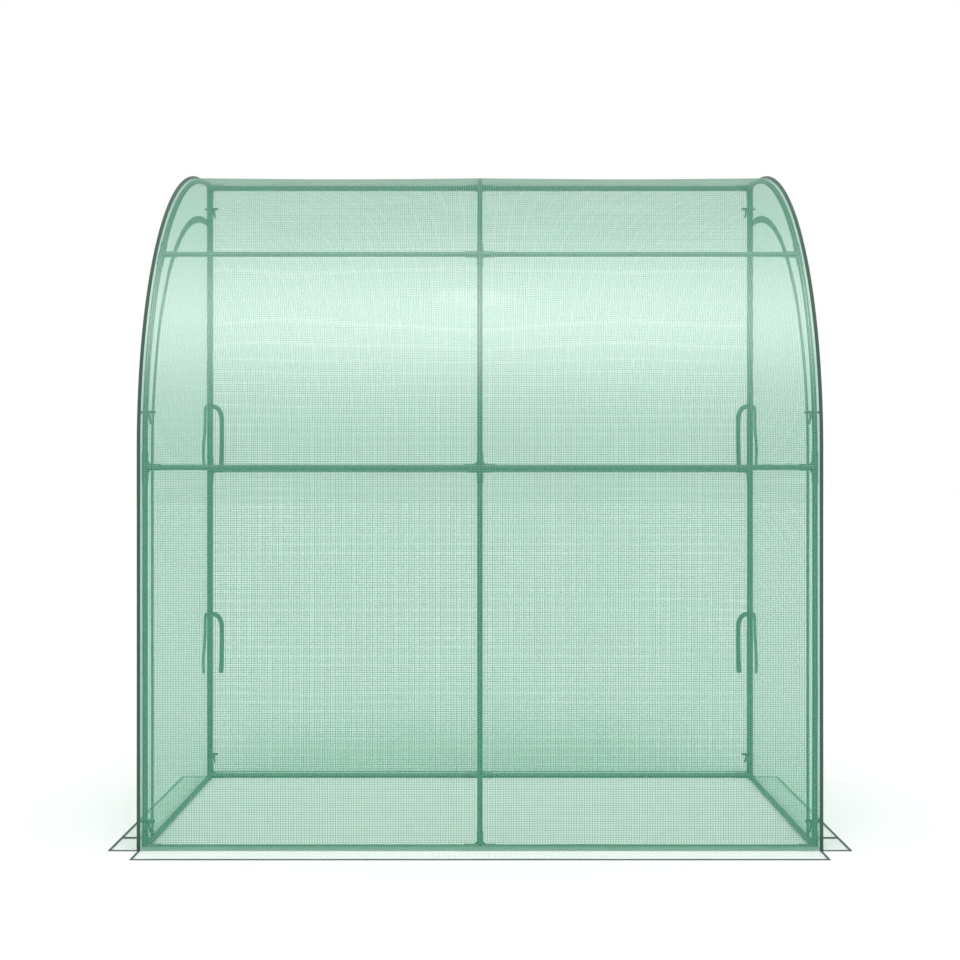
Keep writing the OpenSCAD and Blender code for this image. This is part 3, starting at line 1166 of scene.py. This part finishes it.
@dataclass
class EndWall:
    """One end: its fixed sheet, its door, its zip and the slider."""

    finishes: Finishes
    outline: Outline
    side: Side
    tape_gap: float = 5.0 * MM
    tape_t: float = 1.3 * MM
    facing_t: float = 0.9 * MM
    crown_lift: float = 5.0 * MM
    tooth_pitch: float = 3.0 * MM
    tooth_reach: float = 3.4 * MM
    tooth_t: float = 1.6 * MM
    slack: float = 2.5 * MM
    sewn_edge: float = 0.12
    foot_slack: float = 0.06
    facing_in: float = 1.4 * MM
    plate_t: float = 0.9 * MM
    slider_below_top: float = 8.0 * MM

    def __post_init__(self) -> None:
        """Read the zip's line and the sheets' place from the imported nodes."""
        name = self.side.label
        slider_low, slider_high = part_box(f"{name}_zip_slider")
        self.zip_inset = (slider_low.y + slider_high.y) / 2 - self.outline.front
        self.zip_low, self.zip_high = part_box(f"{name}_door_zip")
        self.door_low, self.door_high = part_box(f"{name}_door")
        self.plane = (self.door_low.x + self.door_high.x) / 2
        self.face = self.side.value * max(abs(self.door_low.x), abs(self.door_high.x))
        self.outwards = Vector((self.side.value, 0, 0))

    def build(self) -> None:
        """Make every piece of the end."""
        self._fixed_sheet()
        self._door_sheet()
        self._zip_tape()
        self._zip_teeth()
        self._slider()

    def _fixed_sheet(self) -> None:
        """Make the band of sheet between the bound edge and the zip."""
        low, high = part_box(f"{self.side.label}_side_cover")
        edge = self.outline.rise(low.y - self.outline.front, low.z)
        inner = self._door_line(low.z)
        end = high.y
        for line in (edge, inner):
            at, out = line[-1]
            line.append((Vector((0, end, at.z)), out))
        shift = Vector((self.plane, 0, 0))
        rows = [
            [outer.lerp(within, t) + shift for t in spread(0, 1, 6)]
            for (outer, _), (within, _) in zip(edge, inner)
        ]
        flats = [[(p.y, p.z) for p in row] for row in rows]
        sheet = grid_piece(f"{self.side.label}_end_sheet", rows, flats)
        dress(sheet, self.finishes.ends, Slot.MESH, f"{self.side.label}_side_cover")

    def _door_sheet(self) -> None:
        """Make the door, which hangs a little slack inside its zip."""
        line = self._door_line(self.door_low.z)
        low, top, back = self.door_low.z - self.foot_slack, line[-1][0].z, self.door_high.y
        rows = []
        for at, _ in line:
            row = []
            for y in spread(at.y, back, 40):
                inner = min(y - at.y, back - y, at.z - low, top - at.z)
                fold = 0.5 + 0.5 * noise.noise(Vector((y * 5.0, at.z * 1.3, 3.0 * self.side.value)))
                bulge = self.slack * fold * ease(inner / self.sewn_edge)
                row.append(Vector((self.plane + self.side.value * bulge, y, at.z)))
            rows.append(row)
        flats = [[(p.y, p.z) for p in row] for row in rows]
        sheet = grid_piece(f"{self.side.label}_door_sheet", rows, flats)
        dress(sheet, self.finishes.ends, Slot.MESH, f"{self.side.label}_door")

    def _door_line(self, low: float) -> list[tuple[Vector, Vector]]:
        """Find the door's edge, which comes a little nearer the roof at its crown.

        Args:
            low: The height that it starts from.

        Returns:
            Points at X = 0, each with its way outwards.
        """
        line = self.outline.rise(self.zip_inset, low)
        return [(at + out * self.crown_lift * max(out.z, 0.0) ** 2, out) for at, out in line]

    def _zip_line(self) -> list[tuple[Vector, Vector]]:
        """Find the zip's line, from the skirt up and over to the back post.

        Returns:
            Points at X = 0, each with its way outwards.
        """
        line = self._door_line(self.zip_low.z)
        at, out = line[-1]
        return [*line, (Vector((0, self.zip_high.y, at.z)), out)]

    def _zip_tape(self) -> None:
        """Make the two woven halves of the zip's tape, and the facing behind them."""
        width = self.zip_inset - (self.zip_low.y - self.outline.front) - self.tape_gap / 2
        face = self.outwards * (abs(self.face) + self.tape_t / 2 + 0.05 * MM)
        within = self.outwards * (abs(self.face) - self.facing_in - self.facing_t / 2)
        tape, line = Solid.empty(), self._zip_line()
        for sign in (-1, 1):
            shift = sign * (self.tape_gap + width) / 2
            stations = [Station(at + out * shift + face, out, self.outwards) for at, out in line]
            tape.sweep(stations, tape_profile(width, self.tape_t))
        facing = [Station(at + within, out, self.outwards) for at, out in line]
        tape.sweep(facing, tape_profile(2 * width, self.facing_t))
        piece = tape.piece(f"{self.side.label}_zip_tape")
        dress(piece, self.finishes.tape, Slot.TRIM, f"{self.side.label}_door_zip")

    def _zip_teeth(self) -> None:
        """Make the coil's turns, left and right by turns, all along the zip."""
        line = self._zip_line()
        runs = run_lengths(line)
        teeth, k = Solid.empty(), 0
        for n in range(int(runs[-1] / self.tooth_pitch)):
            run = (n + 0.5) * self.tooth_pitch
            while runs[k + 1] < run:
                k += 1
            share = (run - runs[k]) / (runs[k + 1] - runs[k])
            at = line[k][0].lerp(line[k + 1][0], share)
            out = line[k][1].lerp(line[k + 1][1], share).normalized()
            along = (line[k + 1][0] - line[k][0]).normalized()
            centre = at + self.outwards * (abs(self.face) + self.tape_t + self.tooth_t / 2)
            half_reach, half_turn = out * self.tooth_reach * 0.62, along * self.tooth_pitch * 0.2
            axes = (half_reach, half_turn, self.outwards * self.tooth_t / 2)
            for sign in (-1, 1):
                shift = along * (sign * self.tooth_pitch / 4)
                teeth.block(centre + shift + out * (sign * self.tooth_reach * 0.3), axes, taper=0.72)
        dress(teeth.piece(f"{self.side.label}_zip_teeth", smooth=False), self.finishes.teeth, Slot.TRIM)

    def _slider(self) -> None:
        """Make the slider: its body, the bridge over it and the pull with its hole."""
        low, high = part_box(f"{self.side.label}_zip_slider")
        base = self.outwards * (abs(self.face) + self.tape_t + self.tooth_t + self.plate_t)
        centre = Vector((0, (low.y + high.y) / 2, high.z - self.slider_below_top)) + base
        up, across = Vector((0, 0, 1)), Vector((0, 1, 0))
        slider = Solid.empty()
        waist = [(-8, 3.4), (-4, 3.6), (0, 4.2), (4, 5.2), (7, 5.4), (8, 4.6)]
        stations = [Station(centre + up * z * MM, across * w * MM, self.outwards) for z, w in waist]
        t = self.plate_t
        slider.sweep(stations, [(-1, 0), (-0.8, t), (0.8, t), (1, 0), (0.8, -t), (-0.8, -t)])
        arch = [(-5, 0.6), (-4, 1.9), (0, 2.6), (4, 1.9), (5, 0.6)]
        lifted = [centre + up * z * MM + self.outwards * h * MM for z, h in arch]
        slider.sweep([Station(at, across, self.outwards) for at in lifted], tape_profile(2.6 * MM, t))
        self._pull(slider, centre + self.outwards * 1.6 * MM, across, up)
        piece = slider.piece(f"{self.side.label}_zip_pull")
        dress(piece, self.finishes.plated, Slot.ZIP_METAL, f"{self.side.label}_zip_slider")

    def _pull(self, solid: Solid, top: Vector, across: Vector, up: Vector) -> None:
        """Add the pull: a flat ring that hangs from the bridge and narrows to a tab.

        Args:
            solid: The solid that it is added to.
            top: Where it hangs from.
            across: The way across the zip.
            up: The way up.
        """
        hang, half = 30 * MM, 3.4 * MM
        stations = []
        for angle in loop_angles(40):
            wide = half * (0.72 + 0.28 * math.sin(angle / 2) ** 2)
            at = top - up * (hang / 2 - hang / 2 * math.cos(angle)) + across * wide * math.sin(angle)
            out = (across * math.sin(angle) * 4 + up * math.cos(angle)).normalized()
            stations.append(Station(at, out, self.outwards))
        solid.sweep(stations, tape_profile(2.2 * MM, 1.2 * MM), closed=True)
        tab = (across * half * 0.8, up * hang * 0.16, self.outwards * 0.5 * MM)
        solid.block(top - up * hang * 0.78, tab)


# ---------------------------------------------------------------- ground skirt


@dataclass
class Skirt:
    """One run of ground skirt with its bound free edges."""

    finishes: Finishes
    node: str
    along: Vector
    outwards: Vector
    hem_w: float = 7.0 * MM
    hem_t: float = 1.3 * MM
    lift: float = 1.2 * MM
    overrun: float = 0.0
    floor_gap: float = 0.6 * MM
    hem_rise: float = 0.2 * MM
    run_step: float = 0.03
    reach_step: float = 0.02

    def __post_init__(self) -> None:
        """Read the run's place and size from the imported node."""
        low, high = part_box(self.node)
        self.length = abs((high - low).dot(self.along)) + 2 * self.overrun
        self.width = abs((high - low).dot(self.outwards))
        middle = (low + high) / 2
        self.start = middle - self.along * self.length / 2 - self.outwards * self.width / 2
        self.start.z = low.z + self.floor_gap

    def _place(self, run: float, reach: float) -> Vector:
        """Find a point of the cloth, with its slight waves.

        Args:
            run: The distance along the wall.
            reach: The distance out from the wall.

        Returns:
            The point.
        """
        at = self.start + self.along * run + self.outwards * reach
        wave = 0.5 + 0.5 * noise.noise(Vector((at.x * 3.1, at.y * 3.7, 7.0)))
        return at + Vector((0, 0, self.lift * wave * ease(reach / self.width)))

    def build(self) -> None:
        """Make the cloth and its hem."""
        runs = spread(0, self.length, max(4, int(self.length / self.run_step)))
        reaches = spread(0, self.width, 8)
        rows = [[self._place(run, reach) for reach in reaches] for run in runs]
        flats = [[(reach, run) for reach in reaches] for run in runs]
        cloth = grid_piece(f"{self.node}_cloth", rows, flats)
        dress(cloth, self.finishes.skirts, Slot.MESH, self.node)
        hem = self._hem()

    def _hem(self) -> Object:
        """Make the bound edge along the skirt's three free sides.

        Returns:
            The hem.
        """
        half, last = self.hem_w / 2, self.length - self.hem_w / 2
        edge = self.width - half
        corners = [
            (half, 0.0, 1.0, 0.0),
            (half, edge, 1.0, -1.0),
            (last, edge, -1.0, -1.0),
            (last, 0.0, -1.0, 0.0),
        ]
        stations = []
        for k, (run, reach, inwards, back) in enumerate(corners):
            if k:
                before = corners[k - 1]
                runs, reaches = abs(run - before[0]), abs(reach - before[1])
                steps = max(2, int(runs / self.run_step + reaches / self.reach_step))
                way = (inwards, 0.0) if k != 2 else (0.0, -1.0)
                for t in spread(0, 1, steps)[1:-1]:
                    place = (before[0] + (run - before[0]) * t, before[1] + (reach - before[1]) * t)
                    stations.append(self._hem_station(*place, *way))
            stations.append(self._hem_station(run, reach, inwards, back))
        hem = Solid.empty().sweep(stations, tape_profile(self.hem_w, self.hem_t))
        return dress(hem.piece(f"{self.node}_hem"), self.finishes.hem, Slot.TRIM)

    def _hem_station(self, run: float, reach: float, inwards: float, back: float) -> Station:
        """Find one place along the hem, with the way in from the free edge.

        Args:
            run: The distance along the wall.
            reach: The distance out from the wall.
            inwards: How far the way in is along the wall.
            back: How far it is away from the wall.

        Returns:
            The place.
        """
        at = self._place(run, reach) + Vector((0, 0, self.hem_rise))
        return Station(at, self.along * inwards + self.outwards * back, Vector((0, 0, 1)))


# ---------------------------------------------------------------- straps and ties


@dataclass
class DoorStraps:
    """The webbing that holds a rolled door, with one end inside and the other outside."""

    finishes: Finishes
    side: Side
    width: float = 16.5 * MM
    thickness: float = 1.3 * MM
    lower_top: float = 0.605
    inner_turn: float = 48.0
    outer_turn: float = 26.0
    tip: float = 4.0 * MM

    def build(self) -> None:
        """Make both straps of this end as one piece."""
        low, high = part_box(f"{self.side.label}_door_straps")
        post_low, post_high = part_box(f"{self.side.label}_back_post")
        self.post = (post_low + post_high) / 2
        self.front = low.y + self.thickness / 2
        straps = Solid.empty()
        for k, top in enumerate((self.lower_top, high.z)):
            self._inner(straps, top, k)
            self._outer(straps, top, k)
        piece = straps.piece(f"{self.side.label}_straps")
        dress(piece, self.finishes.webbing, Slot.TRIM, f"{self.side.label}_door_straps")

    def _ribbon(
        self, solid: Solid, path: Sequence[Vector], turns: Callable[[float], float], face: Vector
    ) -> None:
        """Sweep webbing along a path, with its face turned from a given way by an angle.

        Args:
            solid: The solid that it is added to.
            path: Its middle line.
            turns: The angle, in radians, for a share of the path.
            face: The given way.
        """
        stations = []
        for i, at in enumerate(path):
            along = (path[min(i + 1, len(path) - 1)] - path[max(i - 1, 0)]).normalized()
            out = (face - along * face.dot(along)).normalized()
            out = Matrix.Rotation(turns(i / (len(path) - 1)), 3, along) @ out
            stations.append(Station(at, out.cross(along), out))
        last = stations[-1]
        onwards = (last.at - stations[-2].at).normalized()
        tip = Station(last.at + onwards * self.tip, last.side * 0.6, last.out)
        solid.sweep([*stations, tip], tape_profile(self.width, self.thickness))

    def _inner(self, solid: Solid, top: float, k: int) -> None:
        """Add the end that arches over inside the post and hangs down.

        Args:
            solid: The solid that it is added to.
            top: The height of its top.
            k: Its number from below, for a small difference.
        """
        line = [(-7.0, -9), (4.0, -7.5), (18.0, -10), (31.0, -20), (39.5, -38), (41.5, -60)]
        line += [(41.8, -110), (41.0, -170), (39.0 + k, -219.0)]
        inwards = -self.side.value * MM
        path = [Vector((self.post.x + inwards * x, self.front, top + z * MM)) for x, z in line]
        turn = math.radians(self.inner_turn)
        self._ribbon(solid, smooth_path(path, 8), lambda t: turn * (1 - ease(t / 0.3)), Vector((0, -1, 0)))

    def _outer(self, solid: Solid, top: float, k: int) -> None:
        """Add the end that hangs outside, a little away from the door.

        Args:
            solid: The solid that it is added to.
            top: The height of its top.
            k: Its number from below, for a small difference.
        """
        line = [(9.0, -3), (15.5, -6), (19.5, -16), (21.0, -40), (21.5, -90), (24.5 + k, -140), (27.0, -180)]
        line.append((25.5 - k, -222))
        sign, y = self.side.value, self.post.y + 1 * MM
        path = [Vector((self.post.x + sign * x * MM, y, top + z * MM)) for x, z in line]
        turn = -math.radians(self.outer_turn) * sign
        self._ribbon(solid, smooth_path(path, 8), lambda t: turn * ease(t * 4), Vector((sign, 0, 0)))


@dataclass
class FrameTies:
    """The ribbons that tie the cover to the tubes of one end."""

    finishes: Finishes
    outline: Outline
    side: Side
    width: float = 8.5 * MM
    thickness: float = 0.8 * MM
    low_z: float = 0.085
    front_angle: float = 6.5
    back_drop: float = 0.079
    front_end: float = 13.5
    back_end: float = 22.0

    def build(self) -> None:
        """Make the four ties of this end as one piece."""
        post_low, post_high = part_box(f"{self.side.label}_back_post")
        radius = (post_high.x - post_low.x) / 2
        post = (post_low + post_high) / 2
        top_z = sum(corner.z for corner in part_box("top_rails")) / 2
        angle = math.radians(self.front_angle)
        reach = 2 * post.y
        ties = Solid.empty()
        bend_y, bend_z = post.y - reach * math.cos(angle), self.outline.spring + reach * math.sin(angle)
        bend = Vector((post.x, bend_y, bend_z))
        self._tie(ties, Vector((post.x, -post.y, self.low_z)), 0.0, 1.0, radius, self.front_end)
        self._tie(ties, Vector((post.x, post.y, self.low_z)), 0.0, 0.9, radius, self.front_end)
        self._tie(ties, Vector((post.x, post.y, top_z - self.back_drop)), 0.0, 0.95, radius, self.back_end)
        self._tie(ties, bend, angle, 1.05, radius, self.front_end)
        piece = ties.piece(f"{self.side.label}_ties")
        dress(piece, self.finishes.webbing, Slot.TRIM, f"{self.side.label}_frame_ties")

    def _tie(self, solid: Solid, at: Vector, lean: float, size: float, radius: float, end: float) -> None:
        """Add one tie, with its ring round a tube, its knot, its bow and its tails.

        Args:
            solid: The solid that it is added to.
            at: The middle of the ring, on the tube's axis.
            lean: How far the tube leans back, in radians.
            size: The size of the bow, where 1 is usual.
            radius: The tube's radius.
            end: How far outwards the sewn end is from the tube's axis, in millimetres.
        """
        turn = Matrix.Rotation(-lean, 3, "X")
        inner = -self.side.value

        def put(x: float, y: float, z: float) -> Vector:
            """Return a point from millimetres inwards, to the back and up the tube."""
            return at + turn @ Vector((inner * x * MM, y * MM, z * MM))

        up, ring = turn @ Vector((0, 0, 1)), radius / MM + 0.6
        band = []
        for angle in loop_angles(28):
            out = turn @ Vector((inner * math.cos(angle), math.sin(angle), 0))
            band.append(Station(at + out * ring * MM, up, out))
        solid.sweep(band, tape_profile(self.width, self.thickness), closed=True)
        self._flat(solid, [put(-ring, -1, 0), put(-ring - 2, -1.5, 0), put(-end, -2, 0.5)], 1.0, up)
        knot = [
            put(ring + 1.6 + 2.4 * math.cos(a), -2.2 * math.sin(a), 1.5 * math.sin(2 * a))
            for a in spread(0, 6, 14)
        ]
        self._flat(solid, knot, 0.62, up)
        bow = [(ring, -1, 0), (ring + 7, -3, 1.2), (ring + 15, -3.5, 0.6), (ring + 20 * size, -1.5, -0.6)]
        self._flat(solid, smooth_path([put(*p) for p in bow], 5), 1.0, up)
        loop = [(ring + 1, 1, 0), (ring + 6, 4, -1), (ring + 9, 5, -4), (ring + 6, 4, -6)]
        loop.append((ring + 1, 1.5, -2))
        self._flat(solid, smooth_path([put(*p) for p in loop], 5), 0.6, turn @ Vector((0, 1, 0)))
        tail = [(ring + 1, -2, -1), (ring + 3, -3, -8), (ring + 5, -2.5, -20)]
        tail.append((ring + 8 * size, -1.5, -33 * size))
        self._flat(solid, smooth_path([put(*p) for p in tail], 6), 0.8, turn @ Vector((inner, 0, 0)))

    def _flat(self, solid: Solid, path: Sequence[Vector], share: float, side: Vector) -> None:
        """Sweep a ribbon along a path, with its width kept near to a given way.

        Args:
            solid: The solid that it is added to.
            path: The ribbon's middle line.
            share: Its width, as a share of the usual one.
            side: The given way.
        """
        stations = []
        for i, at in enumerate(path):
            along = (path[min(i + 1, len(path) - 1)] - path[max(i - 1, 0)]).normalized()
            across = (side - along * side.dot(along)).normalized()
            stations.append(Station(at, across, along.cross(across)))
        solid.sweep(stations, tape_profile(self.width * share, self.thickness))


# ---------------------------------------------------------------- studio


@dataclass(frozen=True)
class Lamp:
    """A soft lamp that is far away, in front of and above the object."""

    name: str
    elevation: float
    strength: float
    width: float
    gloss_only: bool = False

    def build(self) -> None:
        """Make the lamp, which adds only highlights where it is for gloss only."""
        data = bpy.data.lights.new(self.name, "SUN")
        data.energy = self.strength
        data.angle = math.radians(self.width)
        holder = bpy.data.objects.new(self.name, data)
        holder.rotation_euler = (math.radians(90 - self.elevation), 0, 0)
        holder.visible_diffuse = not self.gloss_only
        bpy.context.scene.collection.objects.link(holder)


@dataclass
class Studio:
    """The floor, the light and the camera."""

    stand_off: float = 3.995
    eye_height: float = 1.084
    lens: float = 51.3
    floor_size: float = 120.0
    floor_white: float = 0.93
    floor_glow: float = 0.10
    sky: float = 0.72
    lamps: tuple[Lamp, ...] = (
        Lamp("key_lamp", 66.0, 1.2, 40.0),
        Lamp("gloss_lamp", 50.0, 4.2, 28.0, gloss_only=True),
    )

    def build(self) -> None:
        """Make the whole studio."""
        self._floor()
        self._sky()
        for lamp in self.lamps:
            lamp.build()
        self._camera()
        bpy.context.scene.view_settings.view_transform = "Standard"

    def _floor(self) -> None:
        """Make a plain pale floor just under the object."""
        half = self.floor_size / 2
        corners = [Vector((x * half, y * half, -0.6 * MM)) for x, y in ((-1, -1), (1, -1), (1, 1), (-1, 1))]
        floor = make_mesh("studio_floor", corners, [(0, 1, 2, 3)])
        material, tree, surface = shader("studio_white")
        surface.inputs["Base Color"].default_value = rgba((self.floor_white,) * 3)
        surface.inputs["Roughness"].default_value = 1.0
        surface.inputs["Specular IOR Level"].default_value = 0.0
        surface.inputs["Emission Color"].default_value = rgba((1.0, 1.0, 1.0))
        seen = tree.add("LightPath").outputs["Is Camera Ray"]
        tree.feed(surface.inputs["Emission Strength"], tree.blend(seen, 0.0, self.floor_glow))
        floor.data.materials.append(material)

    def _sky(self) -> None:
        """Light the scene evenly, with white where the camera sees past the floor."""
        world = bpy.data.worlds.new("studio_sky")
        world.use_nodes = True
        tree = Tree(world.node_tree)
        seen = tree.add("LightPath").outputs["Is Camera Ray"]
        back = world.node_tree.nodes["Background"]
        back.inputs["Color"].default_value = rgba((1.0, 1.0, 1.0))
        tree.feed(back.inputs["Strength"], tree.blend(seen, self.sky, 1.0))
        bpy.context.scene.world = world

    def _camera(self) -> None:
        """Set the camera in front of the object, level, at chest height."""
        data = bpy.data.cameras.new("camera")
        data.lens = self.lens
        camera = bpy.data.objects.new("camera", data)
        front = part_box("front_cover")[0].y
        camera.location = (0, front - self.stand_off, self.eye_height)
        camera.rotation_euler = (math.radians(90), 0, 0)
        bpy.context.scene.collection.objects.link(camera)
        bpy.context.scene.camera = camera


# ---------------------------------------------------------------- all of it


def main() -> None:
    """Build the studio and every part of the greenhouse."""
    logging.basicConfig(level=logging.INFO, format="%(name)s: %(message)s")
    Studio().build()
    finishes = Finishes.make(Effects())
    outline = Outline.read()
    TubeFrame(finishes).build()
    Cover(finishes, outline).build()
    front, right = Vector((0, -1, 0)), Vector((1, 0, 0))
    Skirt(finishes, "front_skirt", right, front, overrun=BINDING_W).build()
    Skirt(finishes, "back_skirt", right, -front, overrun=BINDING_W).build()
    for side in Side:
        EndWall(finishes, outline, side).build()
        DoorStraps(finishes, side).build()
        FrameTies(finishes, outline, side).build()
        for part in ("side_skirt", "door_skirt"):
            Skirt(finishes, f"{side.label}_{part}", -front, right * side.value).build()


if __name__ == "__main__":
    main()
